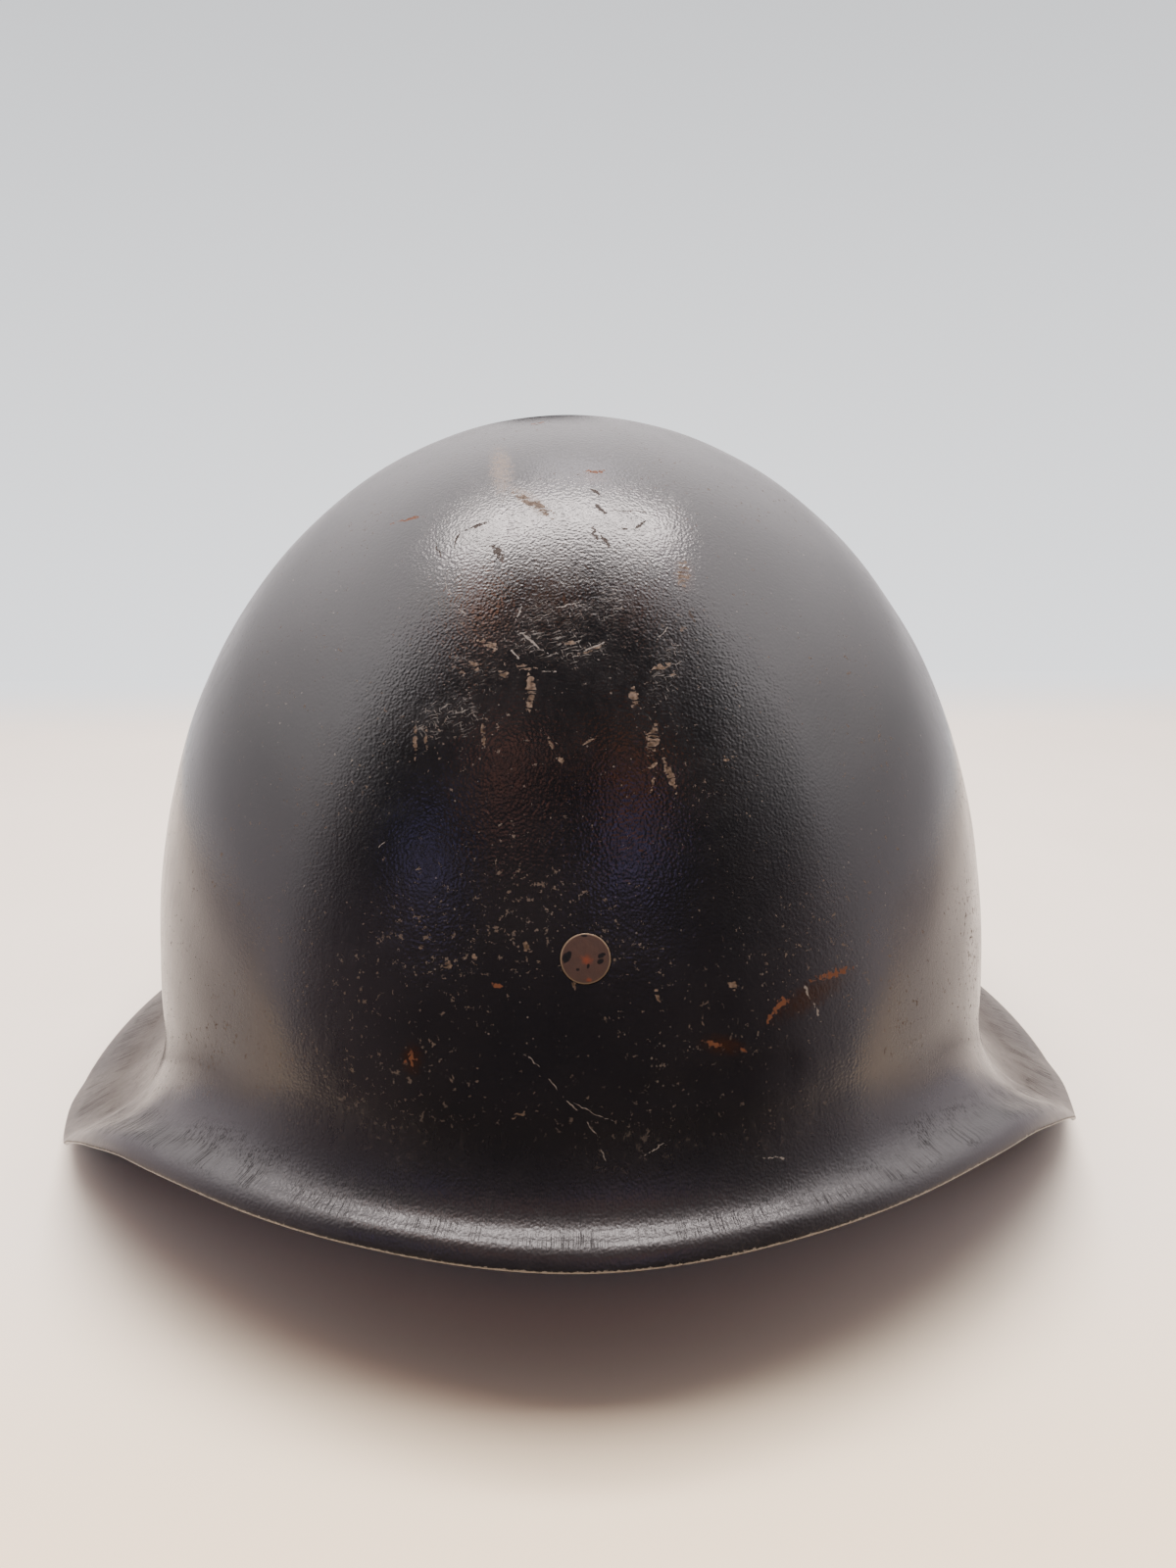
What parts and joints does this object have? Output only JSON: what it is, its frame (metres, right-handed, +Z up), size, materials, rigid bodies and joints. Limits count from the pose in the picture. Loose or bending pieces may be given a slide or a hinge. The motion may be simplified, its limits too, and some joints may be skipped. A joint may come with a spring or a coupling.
{
  "type": "steel military helmet",
  "caption": "Hollow one-piece pressed steel helmet with a high dome, flared side wings and a raised front lip, painted glossy black, with a flush rivet in the front wall.",
  "frame": {"origin": "centre of the helmet's footprint, on the surface that it stands on", "axes": "+Z up; the front of the helmet, with its raised lip and rivet, faces -Y; +X is the wearer's left"},
  "size_m": [0.278, 0.2776, 0.18],
  "materials": {
    "black_enamel": "aged gloss, chipped and scratched",
    "rivet_brass": "tarnished, with paint left in places"
  },
  "bodies": {
    "root": {"helmet_shell": "black_enamel", "front_rivet": "rivet_brass"}
  },
  "joints": []
}
